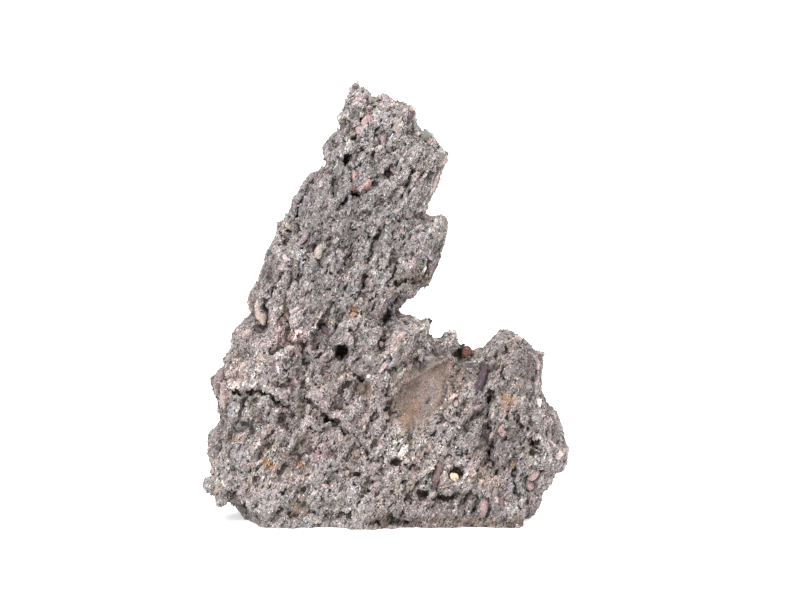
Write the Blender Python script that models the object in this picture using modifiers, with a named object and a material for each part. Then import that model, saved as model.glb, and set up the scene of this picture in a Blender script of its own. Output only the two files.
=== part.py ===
"""A free-standing aquascaping rock: one porous, pebbly stone with a leaning spire on
its left, a low saddle and a rounded shoulder on its right, cut flat underneath.

Metres, +Z up. The broad face looks along -Y, and the origin is the middle of the base.
The stone is laid out in millimetres, by its outline seen from the front and by the
relief of its two faces, and MM turns them into metres.
"""

import math
from itertools import product

import bmesh
import bpy
import numpy as np
from mathutils import Matrix, Vector

MM = 0.001

# Driving sizes in millimetres
BASE_DEPTH = 138.0
WAIST_HEIGHT = 205.0
WAIST_DEPTH = 98.0
TOP_HEIGHT = 436.0
TOP_DEPTH = 48.0
BURIED = 34.0

# The beds of the stone climb to the right at this angle
BEDDING = math.radians(62.0)

# How finely the stone is worked in mm, and how many triangles are left
COARSE_VOXEL = 3.0
FINE_VOXEL = 2.3
TRIANGLES = 8800

# The outline from the front, as (x, z), from the left end of the base clockwise
LEFT_FLANK = [
    (-146, 0), (-153, 8), (-160, 16), (-166, 10), (-171, 19), (-173, 30), (-180, 34),
    (-182, 38), (-180, 42), (-174, 43), (-170, 49), (-175, 57), (-179, 64), (-180, 81),
    (-177, 86), (-168, 93), (-166, 98), (-169, 107), (-169, 119), (-174, 130), (-175, 141),
    (-169, 150), (-161, 152), (-163, 156), (-156, 169), (-155, 185), (-148, 193), (-142, 195),
    (-145, 198), (-136, 203), (-135, 208), (-140, 214), (-138, 220), (-132, 233), (-126, 238),
]
SPIRE_LEFT = [
    (-125, 247), (-118, 266), (-110, 283), (-109, 290), (-105, 296), (-96, 307), (-93, 313),
    (-93, 321), (-88, 324), (-82, 336), (-72, 347), (-60, 350), (-59, 354), (-63, 369),
    (-62, 374), (-53, 384), (-43, 391), (-49, 400), (-46, 403), (-39, 408), (-43, 414),
    (-40, 419), (-36, 431), (-33, 435),
]
CREST = [
    (-29, 436), (-27, 433), (-22, 431), (-13, 420), (-6, 423), (0, 424), (10, 418), (14, 415),
    (24, 414), (28, 411), (30, 399), (32, 388), (38, 386), (40, 389), (43, 386), (46, 381),
    (50, 380), (53, 370), (57, 369), (62, 363),
]
SPIRE_RIGHT = [
    (59, 356), (55, 349), (55, 344), (47, 324), (39, 306), (41, 303), (52, 302), (56, 305),
    (59, 304), (63, 294), (60, 283), (56, 271), (52, 257), (45, 236), (41, 233), (35, 232),
    (31, 228), (30, 221), (24, 220), (19, 219), (16, 213), (10, 212), (8, 209),
]
SADDLE = [
    (15, 206), (28, 203), (34, 199), (40, 199), (44, 202), (44, 191), (41, 180), (46, 181),
    (57, 180), (60, 185), (66, 189), (70, 186), (69, 180), (71, 175), (77, 172), (85, 165),
    (90, 168), (97, 170),
]
SHOULDER = [
    (105, 178), (117, 190), (125, 185), (132, 185), (140, 179), (147, 168), (153, 168),
    (156, 158), (154, 145), (155, 130), (162, 113), (165, 108), (171, 106), (175, 96),
    (178, 88), (179, 77), (183, 70), (181, 59), (179, 50), (168, 45), (166, 39), (157, 25),
    (155, 11), (149, 0),
]

# Swells and hollows of the front: (x, z, half width, half height, turn in degrees, rise).
# A positive turn leans the half height to the left, and a negative rise is a hollow.
FRONT_FORMS = {
    "tan hollow": (37, 132, 18, 38, -33, -19),
    "left brow": (-134, 160, 34, 28, 0, 11),
    "under the brow": (-128, 108, 42, 14, 8, -6),
    "belly": (-70, 66, 60, 44, 0, 8),
    "shoulder rib": (131, 138, 24, 50, 6, 14),
    "shoulder foot": (158, 80, 22, 34, 0, 9),
    "rib groove": (103, 110, 7, 42, 0, -16),
    "shelf": (24, 190, 22, 17, 0, 11),
    "cleft": (4, 203, 8, 26, -15, -17),
    "spire hip": (39, 268, 20, 34, -14, 9),
    "spire face": (-30, 292, 38, 80, -24, 9),
    "spire neck": (4, 346, 34, 22, 0, -6),
    "crest knob": (-29, 415, 12, 18, 10, 7),
    "crest boss": (6, 402, 20, 14, 0, 5),
    "mid flank": (-12, 104, 30, 44, -20, 8),
    "foot hollow": (56, 28, 28, 12, 0, -9),
    "left foot": (-118, 30, 26, 18, 0, 7),
    "right foot": (118, 36, 28, 30, 0, 7),
}

# Swells and hollows of the back, in the same terms
BACK_FORMS = {
    "back spine": (-58, 230, 30, 150, -26, 20),
    "back scar": (16, 150, 50, 38, 30, -20),
    "upper scar": (16, 338, 30, 44, -20, -10),
    "left boss": (-132, 84, 42, 50, 0, 12),
    "right boss": (122, 90, 40, 58, 8, 14),
    "foot scar": (20, 40, 64, 24, -6, -12),
    "left scar": (-112, 184, 28, 36, -20, -12),
}

# Ledges of the front: from (x, z) to (x, z), the rise of the left side of that line,
# and how far to the left the rise dies away
FRONT_LEDGES = {
    "brow ledge": ((-160, 137), (-103, 123), 9, 34),
    "spire edge": ((-121, 194), (-73, 345), -9, 26),
    "shelf lip": ((6, 160), (46, 172), 8, 26),
    "shoulder seam": ((103, 59), (103, 150), -8, 24),
    "hollow brow": ((32, 148), (66, 166), 8, 20),
}

# Pits: (x, z, half width, half height, turn in degrees, depth)
FRONT_PITS = {
    "borehole": (-43, 174, 6.6, 6.0, 0, 30),
    "pebble vug": (68, 56, 5.6, 8.4, 8, 12),
    "saddle vug": (73, 166, 5.4, 5.4, 20, 16),
    "neck pit": (2, 346, 4.6, 5.6, -20, 12),
    "salmon pit": (-30, 325, 5.0, 3.8, -30, 9),
    "slanted pit": (-39, 360, 4.0, 7.6, -40, 9),
    "high pit": (-29, 379, 4.2, 4.0, 0, 7),
    "spire slot": (-41, 318, 3.6, 9.0, -34, 8),
    "crest pit": (38, 374, 3.4, 4.4, 0, 7),
    "hip slot": (-22, 242, 3.4, 8.6, -14, 9),
    "rib slot": (103, 127, 4.4, 9.4, -10, 13),
    "foot pit": (144, 83, 4.2, 5.8, 10, 10),
    "upper foot pit": (152, 94, 3.6, 4.2, -20, 8),
    "shoulder pit": (144, 143, 3.4, 3.4, 0, 7),
    "ledge end": (-107, 124, 4.2, 6.4, 50, 12),
    "mid crack": (-52, 105, 8.6, 3.4, -6, 9),
    "low pit": (37, 33, 7.6, 5.4, 10, 9),
    "low slot": (57, 29, 9.4, 4.2, -4, 9),
    "flank pit": (9, 64, 5.0, 4.4, 0, 8),
}
BACK_PITS = {
    "back hole": (-64, 300, 6.0, 7.0, 10, 14),
    "back vug": (36, 96, 9.0, 7.0, -20, 12),
    "back slot": (-110, 130, 4.6, 12.0, -30, 10),
    "back pit": (128, 52, 6.0, 5.4, 0, 10),
    "back eye": (-16, 226, 5.2, 5.2, 0, 12),
    "back notch": (96, 140, 4.8, 9.0, 20, 9),
}

STONE_COLOUR = (0.295, 0.252, 0.243, 1.0)


def clear_scene():
    for obj in list(bpy.data.objects):
        bpy.data.objects.remove(obj)


def new_collection(name):
    made = bpy.data.collections.new(name)
    bpy.context.scene.collection.children.link(made)
    return made


def stone_material():
    made = bpy.data.materials.new("stone")
    made.use_nodes = True
    shader = made.node_tree.nodes["Principled BSDF"]
    shader.inputs["Base Color"].default_value = STONE_COLOUR
    shader.inputs["Roughness"].default_value = 0.92
    shader.inputs["Metallic"].default_value = 0.0
    return made


def outline_points():
    """The outline in metres, run on below the base, where the stone is sawn off."""
    traced = LEFT_FLANK + SPIRE_LEFT + CREST + SPIRE_RIGHT + SADDLE + SHOULDER
    left, right = traced[0][0], traced[-1][0]
    return np.array([(left, -BURIED)] + traced + [(right, -BURIED)], float) * MM


def smoothstep(t):
    t = np.clip(t, 0.0, 1.0)
    return t * t * (3.0 - 2.0 * t)


def chance(cells, seed):
    """Three numbers from 0 to 1 for each whole-numbered cell, always the same ones."""
    x, y, z = cells.astype(np.int64).T
    mixed = x * 73856093 ^ y * 19349663 ^ z * 83492791 ^ (seed + 11) * 2654435761
    numbers = []
    for turn in (1, 2, 3):
        mixed = (mixed ^ (mixed >> 13)) * 1274126177 + turn * 97531
        mixed &= 0xFFFFFFFF
        numbers.append(((mixed ^ (mixed >> 16)) & 0xFFFF) / 65536.0)
    return np.stack(numbers, axis=1)


def ripple(points, seed):
    """Smooth noise from about -1 to 1, with one lump to each unit of the points."""
    cell = np.floor(points)
    share = points - cell
    fade = share**3 * (share * (share * 6.0 - 15.0) + 10.0)
    total = np.zeros(len(points))
    for corner in product((0.0, 1.0), repeat=3):
        slope = 2.0 * chance(cell + corner, seed) - 1.0
        weight = np.where(np.array(corner) > 0, fade, 1.0 - fade).prod(axis=1)
        total += weight * (slope * (share - corner)).sum(axis=1)
    return 1.7 * total


def swell(places, size, seed):
    """Fractal noise in lumps of this size in mm, each octave half as strong."""
    points = places / (size * MM)
    return ripple(points, seed) + 0.5 * ripple(2 * points, seed + 1) + 0.25 * ripple(4 * points, seed + 2)


def along_beds(places, stretch):
    """The places turned to the beds and shortened along them, so that noise runs along."""
    c, s = math.cos(BEDDING), math.sin(BEDDING)
    x, y, z = places.T
    return np.stack([(x * c + z * s) / stretch, y, z * c - x * s], axis=1)


def blocks(places, size, seed):
    """Heights from about -1 to 1 of broken blocks of this size in mm: each has its own
    level and its own slope, with a step to the next."""
    points = places / (size * MM)
    cell = np.floor(points)
    nearest = np.full(len(points), np.inf)
    height = np.zeros(len(points))
    for offset in product((-1.0, 0.0, 1.0), repeat=3):
        at = cell + offset
        away = points - at - chance(at, seed)
        distance = (away**2).sum(axis=1)
        nearer = distance < nearest
        nearest[nearer] = distance[nearer]
        tilt = 2.4 * (chance(at, seed + 1) - 0.5)
        level = 1.4 * (chance(at, seed + 2)[:, 0] - 0.5)
        height[nearer] = (level + (away * tilt).sum(axis=1))[nearer]
    return height


def to_outline(flat, outline):
    """For each (x, z): its distance to the outline and the way from there to the inside,
    shorter where several sides are near."""
    gap = np.full(len(flat), np.inf)
    inwards = np.zeros((len(flat), 2))
    weights = np.zeros(len(flat))
    for start, end in zip(outline[:-1], outline[1:]):
        run = end - start
        length = np.hypot(*run)
        share = np.clip((flat - start) @ run / length**2, 0.0, 1.0)
        distance = np.linalg.norm(start + share[:, None] * run - flat, axis=1)
        gap = np.minimum(gap, distance)
        weight = length / (distance + 5 * MM) ** 4
        inwards += weight[:, None] * np.array([run[1], -run[0]]) / length
        weights += weight
    return gap, inwards / weights[:, None]


def forms(places, table):
    """The summed rise of a table of swells and hollows, in mm."""
    total = np.zeros(len(places))
    for x, z, half_width, half_height, turn, rise in table.values():
        dx, dz = places[:, 0] / MM - x, places[:, 2] / MM - z
        c, s = math.cos(math.radians(turn)), math.sin(math.radians(turn))
        across, along = dx * c + dz * s, dz * c - dx * s
        total += rise * np.exp(-(((across / half_width) ** 2 + (along / half_height) ** 2) ** 1.5))
    return total


def ledges(places, table):
    """The summed rise of a table of ledges, in mm."""
    total = np.zeros(len(places))
    flat = places[:, [0, 2]] / MM
    for start, end, rise, reach in table.values():
        run = np.array(end, float) - start
        length = np.hypot(*run)
        share = (flat - start) @ run / length**2
        left = (flat - start) @ np.array([-run[1], run[0]]) / length
        ends = smoothstep((share + 0.15) / 0.3) * smoothstep((1.15 - share) / 0.3)
        fall = np.exp(-np.maximum(left, 0.0) / reach)
        total += rise * ends * smoothstep(left / 4.0 + 0.5) * fall
    return total


def half_depth(heights):
    """Half of the stone's depth at each height, in metres."""
    stations = [-BURIED, 0.0, WAIST_HEIGHT, TOP_HEIGHT]
    depths = [BASE_DEPTH, BASE_DEPTH, WAIST_DEPTH, TOP_DEPTH]
    return np.interp(heights / MM, stations, depths) * MM / 2


def places_of(obj):
    found = np.empty(len(obj.data.vertices) * 3)
    obj.data.vertices.foreach_get("co", found)
    return found.reshape(-1, 3)


def normals_of(obj):
    found = np.empty(len(obj.data.vertices) * 3)
    obj.data.vertices.foreach_get("normal", found)
    return found.reshape(-1, 3)


def put_places(obj, places):
    obj.data.vertices.foreach_set("co", places.ravel())
    obj.data.update()


def apply_modifiers(obj):
    graph = bpy.context.evaluated_depsgraph_get()
    made = bpy.data.meshes.new_from_object(obj.evaluated_get(graph))
    obj.modifiers.clear()
    old, obj.data = obj.data, made
    bpy.data.meshes.remove(old)


def remesh(obj, voxel, smoothings):
    """Covers the object with even faces, and evens out the steps that they leave."""
    even = obj.modifiers.new("even faces", "REMESH")
    even.mode = "VOXEL"
    even.voxel_size = voxel * MM
    smooth = obj.modifiers.new("no stair steps", "SMOOTH")
    smooth.factor = 0.5
    smooth.iterations = smoothings
    apply_modifiers(obj)


def slab(outline, collection):
    """The outline as a slab of even depth, standing upright."""
    curve = bpy.data.curves.new("outline", "CURVE")
    curve.dimensions = "2D"
    curve.fill_mode = "BOTH"
    curve.extrude = BASE_DEPTH * MM / 2
    line = curve.splines.new("POLY")
    line.points.add(len(outline) - 1)
    for point, (x, z) in zip(line.points, outline):
        point.co = (x, z, 0.0, 1.0)
    line.use_cyclic_u = True
    drawn = bpy.data.objects.new("outline", curve)
    collection.objects.link(drawn)
    graph = bpy.context.evaluated_depsgraph_get()
    mesh = bpy.data.meshes.new_from_object(drawn.evaluated_get(graph))
    bpy.data.objects.remove(drawn)
    shape = bmesh.new()
    shape.from_mesh(mesh)
    bmesh.ops.remove_doubles(shape, verts=shape.verts, dist=1e-5)
    shape.to_mesh(mesh)
    shape.free()
    mesh.transform(Matrix.Rotation(math.radians(90), 4, "X"))
    stone = bpy.data.objects.new("rock", mesh)
    collection.objects.link(stone)
    remesh(stone, COARSE_VOXEL, smoothings=0)
    return stone


def round_off(stone, outline):
    """Brings the slab to the stone's depth at each place, with broken, sloping sides."""
    places = places_of(stone)
    gap, inwards = to_outline(places[:, [0, 2]], outline)
    level = places * [1.0, 0.0, 1.0]
    side = places[:, 1] / (BASE_DEPTH * MM / 2)
    full = half_depth(places[:, 2])
    front = places[:, 1] < 0
    # The faces slope down to the rim, more gently at the back
    rim = full * np.where(front, 0.50 + 0.24 * swell(level, 64, 21), 0.34 + 0.24 * swell(level, 70, 22))
    slope = np.where(front, 1.5 + 0.9 * swell(level, 80, 23), 0.8 + 0.5 * swell(level, 90, 24))
    depth = rim + np.maximum(slope, 0.25) * gap
    blend = 9 * MM
    depth = -blend * np.logaddexp(-depth / blend, -full / blend)
    # The sides draw in from their widest line, which wanders from front to back
    widest = np.clip(0.9 * swell(level, 60, 25), -0.7, 0.7)
    draw = (9.0 + 6.0 * swell(level, 40, 26)) * MM * (side - widest) ** 2
    draw = np.clip(draw, 0.0, 15 * MM) * smoothstep(1.0 - gap / (26 * MM))
    # The stone's middle sways a little
    sway = 7 * MM * ripple(level / (150 * MM), 27)
    places[:, 0] += inwards[:, 0] * draw
    places[:, 2] += inwards[:, 1] * draw
    places[:, 1] = side * depth + sway
    put_places(stone, places)
    remesh(stone, COARSE_VOXEL, smoothings=2)


def weather(stone, outline):
    """Raises the swells, ledges, beds and broken blocks of the whole surface."""
    places, normals = places_of(stone), normals_of(stone)
    gap, _ = to_outline(places[:, [0, 2]], outline)
    inner = smoothstep(gap / (18 * MM))
    front = normals[:, 1] < 0
    relief = np.where(
        front,
        forms(places, FRONT_FORMS) + ledges(places, FRONT_LEDGES),
        forms(places, BACK_FORMS),
    )
    relief += 5.0 * swell(places, 52, 31)
    places[:, 1] += np.where(front, -1.0, 1.0) * relief * np.abs(normals[:, 1]) * inner * MM
    bedded = along_beds(places, 2.6)
    broken = 5.0 * blocks(bedded, 27, 41) + 2.0 * blocks(bedded, 13, 44)
    pebbles = 1.6 * swell(places, 9, 47)
    lift = (broken + pebbles) * MM
    # At the rim the surface only breaks inwards, so the outline holds
    at_rim = 1.1 * MM - 0.35 * np.abs(lift)
    lift = inner * lift + (1.0 - inner) * at_rim
    places += normals * lift[:, None]
    # The foot is chipped back just above the cut
    foot = smoothstep(1.0 - places[:, 2] / (12 * MM)) * inner
    chipped = np.clip(0.4 + 1.2 * swell(places, 24, 51), 0.0, 1.0)
    places -= normals * (foot * chipped * 6 * MM)[:, None]
    put_places(stone, places)
    remesh(stone, FINE_VOXEL, smoothings=1)


def thin_out(stone, outline):
    """Collapses faces down to the number wanted, sparing the outline a little."""
    gap, _ = to_outline(places_of(stone)[:, [0, 2]], outline)
    group = stone.vertex_groups.new(name="inner")
    for index, weight in enumerate(0.5 + 0.5 * smoothstep(gap / (10 * MM))):
        group.add([index], float(weight), "REPLACE")
    thinned = stone.modifiers.new("fewer faces", "DECIMATE")
    thinned.ratio = TRIANGLES / (2.0 * len(stone.data.polygons))
    thinned.use_collapse_triangulate = True
    thinned.vertex_group = group.name
    thinned.vertex_group_factor = 0.3
    apply_modifiers(stone)
    stone.vertex_groups.clear()


def as_cutter(name, mesh, collection):
    cutter = bpy.data.objects.new(name, mesh)
    cutter.hide_render = True
    cutter.display_type = "WIRE"
    collection.objects.link(cutter)
    return cutter


def pit_cutter(stone, name, values, front, collection):
    """A blunt cone with uneven sides, wide at the skin and narrow where the pit ends."""
    x, z, half_width, half_height, turn, depth = values
    inwards = 1.0 if front else -1.0
    start = Vector((x * MM, -inwards * 0.3, z * MM))
    hit, skin, _, _ = stone.ray_cast(start, Vector((0.0, inwards, 0.0)))
    if not hit:
        raise ValueError(f"the {name} misses the stone")
    proud = 7.0
    shape = bmesh.new()
    bmesh.ops.create_cone(
        shape,
        cap_ends=True,
        segments=9,
        radius1=0.5,
        radius2=1.3,
        depth=depth + proud,
    )
    corners = np.array([vertex.co for vertex in shape.verts])
    uneven = 1.0 + 0.3 * ripple(corners * [1.3, 1.3, 0.11] + [x, z, 0.0], 61)
    for vertex, factor in zip(shape.verts, uneven):
        vertex.co.xy *= factor
    mesh = bpy.data.meshes.new(name)
    shape.to_mesh(mesh)
    shape.free()
    sized = Matrix.Diagonal((half_width * MM, half_height * MM, MM, 1.0))
    facing = Matrix.Rotation(math.radians(90) * inwards, 4, "X")
    turned = Matrix.Rotation(-math.radians(turn), 4, "Y")
    middle = skin + Vector((0.0, inwards * (depth - proud) / 2 * MM, 0.0))
    mesh.transform(Matrix.Translation(middle) @ turned @ facing @ sized)
    return as_cutter(name, mesh, collection)


def base_cutter(collection):
    """The block below the base that is sawn off."""
    shape = bmesh.new()
    bmesh.ops.create_cube(shape, size=1.0)
    mesh = bpy.data.meshes.new("base cut")
    shape.to_mesh(mesh)
    shape.free()
    depth = 2 * BURIED * MM
    mesh.transform(Matrix.Translation((0.0, 0.0, -depth / 2)) @ Matrix.Diagonal((0.6, 0.4, depth, 1.0)))
    return as_cutter("base cut", mesh, collection)


def cut(stone, cutters):
    for cutter in cutters:
        hole = stone.modifiers.new(cutter.name, "BOOLEAN")
        hole.operation = "DIFFERENCE"
        hole.object = cutter
    apply_modifiers(stone)


def keep_largest(stone):
    """Drops the crumbs that a cut has left loose."""
    shape = bmesh.new()
    shape.from_mesh(stone.data)
    waiting, pieces = set(shape.verts), []
    while waiting:
        edge = [waiting.pop()]
        piece = list(edge)
        while edge:
            vertex = edge.pop()
            near = {link.other_vert(vertex) for link in vertex.link_edges} & waiting
            waiting -= near
            edge += near
            piece += near
        pieces.append(piece)
    pieces.sort(key=len)
    crumbs = [vertex for piece in pieces[:-1] for vertex in piece]
    bmesh.ops.delete(shape, geom=crumbs, context="VERTS")
    bmesh.ops.triangulate(shape, faces=shape.faces)
    shape.to_mesh(stone.data)
    shape.free()


def centre(stone):
    """Puts the middle of the stone's box over the origin, and its base on the ground."""
    places = places_of(stone)
    low, high = places.min(axis=0), places.max(axis=0)
    middle = (low + high) / 2
    put_places(stone, places - [middle[0], middle[1], low[2]])


def main():
    clear_scene()
    collection = new_collection("aquascaping rock")
    guides = new_collection("cutters")
    outline = outline_points()
    stone = slab(outline, collection)
    round_off(stone, outline)
    weather(stone, outline)
    thin_out(stone, outline)
    cutters = [pit_cutter(stone, *item, True, guides) for item in FRONT_PITS.items()]
    cutters += [pit_cutter(stone, *item, False, guides) for item in BACK_PITS.items()]
    cut(stone, cutters + [base_cutter(guides)])
    keep_largest(stone)
    centre(stone)
    stone.data.materials.clear()
    stone.data.materials.append(stone_material())


main()
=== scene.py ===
"""The looks of an aquascaping rock: porous, pebbly breccia in greys and mauves, with pale
crystals, pink, lilac, cream and rust pebbles, and dark pits between the grains.

The skin is worked in millimetres from the same outline, swells, ledges and pits as the
solid, only finer, and MM turns them into metres. +Z is up, and the broad face looks
along -Y. Grains and pebbles are then set into the skin.
"""

import math
from collections import namedtuple
from itertools import product

import bmesh
import bpy
import numpy as np
from mathutils import Matrix, Vector
from mathutils.bvhtree import BVHTree

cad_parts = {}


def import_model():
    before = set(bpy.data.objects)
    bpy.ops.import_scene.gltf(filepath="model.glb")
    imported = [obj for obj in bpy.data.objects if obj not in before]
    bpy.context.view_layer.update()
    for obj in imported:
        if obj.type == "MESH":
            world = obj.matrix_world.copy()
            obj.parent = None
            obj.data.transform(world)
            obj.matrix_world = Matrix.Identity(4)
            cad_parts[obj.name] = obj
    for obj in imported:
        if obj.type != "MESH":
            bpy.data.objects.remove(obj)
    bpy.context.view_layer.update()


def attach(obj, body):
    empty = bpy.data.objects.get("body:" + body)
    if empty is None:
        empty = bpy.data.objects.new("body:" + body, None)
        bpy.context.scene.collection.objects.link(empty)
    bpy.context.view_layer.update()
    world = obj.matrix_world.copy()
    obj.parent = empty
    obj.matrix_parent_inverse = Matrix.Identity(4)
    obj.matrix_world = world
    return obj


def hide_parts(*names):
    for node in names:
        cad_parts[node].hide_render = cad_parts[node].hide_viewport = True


MM = 0.001

# The photo's frame in pixels, and the camera that sees the stone as the photo does
PHOTO_WIDTH = 800
PHOTO_HEIGHT = 611
CAMERA_DISTANCE = 2.2
CAMERA_RISE = math.radians(5.0)
VIEW_WIDTH = 0.8
VIEW_MIDDLE = (0.0134, 0.0, 0.2135)
SENSOR_WIDTH = 36.0

# Driving sizes of the stone in millimetres
BASE_DEPTH = 138.0
WAIST_HEIGHT = 205.0
WAIST_DEPTH = 98.0
TOP_HEIGHT = 436.0
TOP_DEPTH = 48.0
BURIED = 34.0
BEDDING = math.radians(62.0)

# The middle of the stone's box as it is traced, which then moves over the origin
TO_ORIGIN = np.array([0.63, -1.28, 0.0]) * MM

# How finely the skin is worked in mm, and the most triangles that one piece may have
COARSE_VOXEL = 2.4
FINE_VOXEL = 1.3
SKIN_TRIANGLES = 196000

# The outline from the front, as (x, z), from the left end of the base clockwise
LEFT_FLANK = [
    (-146, 0), (-153, 8), (-160, 16), (-166, 10), (-171, 19), (-173, 30), (-180, 34),
    (-182, 38), (-180, 42), (-174, 43), (-170, 49), (-175, 57), (-179, 64), (-180, 81),
    (-177, 86), (-168, 93), (-166, 98), (-169, 107), (-169, 119), (-174, 130), (-175, 141),
    (-169, 150), (-161, 152), (-163, 156), (-156, 169), (-155, 185), (-148, 193), (-142, 195),
    (-145, 198), (-136, 203), (-135, 208), (-140, 214), (-138, 220), (-132, 233), (-126, 238),
]
SPIRE_LEFT = [
    (-125, 247), (-118, 266), (-110, 283), (-109, 290), (-105, 296), (-96, 307), (-93, 313),
    (-93, 321), (-88, 324), (-82, 336), (-72, 347), (-60, 350), (-59, 354), (-63, 369),
    (-62, 374), (-53, 384), (-43, 391), (-49, 400), (-46, 403), (-39, 408), (-43, 414),
    (-40, 419), (-36, 431), (-33, 435),
]
CREST = [
    (-29, 436), (-27, 433), (-22, 431), (-13, 420), (-6, 423), (0, 424), (10, 418), (14, 415),
    (24, 414), (28, 411), (30, 399), (32, 388), (38, 386), (40, 389), (43, 386), (46, 381),
    (50, 380), (53, 370), (57, 369), (62, 363),
]
SPIRE_RIGHT = [
    (59, 356), (55, 349), (55, 344), (47, 324), (39, 306), (41, 303), (52, 302), (56, 305),
    (59, 304), (63, 294), (60, 283), (56, 271), (52, 257), (45, 236), (41, 233), (35, 232),
    (31, 228), (30, 221), (24, 220), (19, 219), (16, 213), (10, 212), (8, 209),
]
SADDLE = [
    (15, 206), (28, 203), (34, 199), (40, 199), (44, 202), (44, 191), (41, 180), (46, 181),
    (57, 180), (60, 185), (66, 189), (70, 186), (69, 180), (71, 175), (77, 172), (85, 165),
    (90, 168), (97, 170),
]
SHOULDER = [
    (105, 178), (117, 190), (125, 185), (132, 185), (140, 179), (147, 168), (153, 168),
    (156, 158), (154, 145), (155, 130), (162, 113), (165, 108), (171, 106), (175, 96),
    (178, 88), (179, 77), (183, 70), (181, 59), (179, 50), (168, 45), (166, 39), (157, 25),
    (155, 11), (149, 0),
]

# Swells and hollows of the front: (x, z, half width, half height, turn in degrees, rise).
# A positive turn leans the half height to the left, and a negative rise is a hollow.
FRONT_FORMS = {
    "tan hollow": (36, 132, 24, 42, -33, -10),
    "left brow": (-134, 160, 34, 28, 0, 11),
    "under the brow": (-128, 108, 42, 14, 8, -6),
    "belly": (-70, 66, 60, 44, 0, 8),
    "shoulder rib": (131, 138, 24, 50, 6, 14),
    "shoulder foot": (158, 80, 22, 34, 0, 9),
    "rib groove": (104, 112, 8, 34, 0, -5),
    "shelf": (24, 190, 22, 17, 0, 11),
    "cleft": (4, 203, 8, 26, -15, -17),
    "spire hip": (39, 268, 20, 34, -14, 9),
    "spire face": (-30, 292, 38, 80, -24, 9),
    "spire neck": (4, 346, 34, 22, 0, -6),
    "crest knob": (-29, 415, 12, 18, 10, 7),
    "crest boss": (6, 402, 20, 14, 0, 5),
    "mid flank": (-20, 104, 26, 44, -20, 4),
    "foot hollow": (56, 28, 28, 12, 0, -9),
    "left foot": (-118, 30, 26, 18, 0, 7),
    "right foot": (118, 36, 28, 30, 0, 7),
}

# Swells and hollows of the back, in the same terms
BACK_FORMS = {
    "back spine": (-58, 230, 30, 150, -26, 20),
    "back scar": (16, 150, 50, 38, 30, -20),
    "upper scar": (16, 338, 30, 44, -20, -10),
    "left boss": (-132, 84, 42, 50, 0, 12),
    "right boss": (122, 90, 40, 58, 8, 14),
    "foot scar": (20, 40, 64, 24, -6, -12),
    "left scar": (-112, 184, 28, 36, -20, -12),
}

# Ledges of the front: from (x, z) to (x, z), the rise of the left side of that line,
# and how far to the left the rise dies away
FRONT_LEDGES = {
    "brow ledge": ((-160, 137), (-103, 123), 9, 34),
    "spire edge": ((-121, 194), (-73, 345), -9, 26),
    "shelf lip": ((6, 160), (46, 172), 8, 26),
    "shoulder seam": ((103, 59), (103, 150), -8, 24),
    "hollow brow": ((22, 141), (62, 166), 8, 22),
    "flank ledge": ((-80, 130), (-16, 74), 6, 20),
}

# Pits: (x, z, half width, half height, turn in degrees, depth)
FRONT_PITS = {
    "borehole": (-43, 172, 8, 7.4, 0, 30),
    "pebble vug": (69, 54, 6.6, 7.6, 12, 12),
    "saddle vug": (73, 166, 5.4, 5.4, 20, 16),
    "neck pit": (2, 346, 4.6, 5.6, -20, 12),
    "salmon pit": (-30, 325, 5, 3.8, -30, 9),
    "slanted pit": (-39, 360, 4, 7.6, -40, 9),
    "high pit": (-29, 379, 4.2, 4, 0, 7),
    "spire slot": (-41, 318, 3.6, 9, -34, 8),
    "crest pit": (38, 374, 3.4, 4.4, 0, 7),
    "hip slot": (-22, 242, 3.4, 8.6, -14, 9),
    "rib slot": (103, 127, 4, 9, -10, 12),
    "foot pit": (144, 83, 4.2, 5.8, 10, 10),
    "upper foot pit": (152, 94, 3.6, 4.2, -20, 8),
    "shoulder pit": (144, 143, 3.4, 3.4, 0, 7),
    "ledge end": (-107, 124, 4.2, 6.4, 50, 12),
    "mid crack": (-52, 105, 8.6, 3.4, -6, 9),
    "low pit": (36, 34, 6.6, 5, 10, 8),
    "low slot": (57, 29, 8.4, 3.6, -4, 8),
    "flank pit": (9, 64, 5, 4.4, 0, 8),
    "green pit": (-11, 337, 3, 3.2, 0, 7),
    "flank eye": (1, 116, 3.2, 4, 0, 6),
    "pink pit": (-29, 53, 3.4, 2.8, 20, 6),
    "mid pit": (-26, 89, 3, 4.4, -30, 6),
    "rib pit": (100, 109, 2.8, 3, 0, 7),
    "clast crack": (87, 19, 1.8, 12, -14, 7),
    "left rim pit": (-166, 70, 2.6, 5, 0, 8),
    "seam pit": (-24, 398, 2.8, 3.2, 0, 5),
    "hip eye": (14, 300, 3, 5, -24, 6),
    "spire eye": (-96, 292, 2.8, 4.6, -30, 6),
}
BACK_PITS = {
    "back hole": (-64, 300, 6, 7, 10, 14),
    "back vug": (36, 96, 9, 7, -20, 12),
    "back slot": (-110, 130, 4.6, 12, -30, 10),
    "back pit": (128, 52, 6, 5.4, 0, 10),
    "back eye": (-16, 226, 5.2, 5.2, 0, 12),
    "back notch": (96, 140, 4.8, 9, 20, 9),
}

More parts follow.
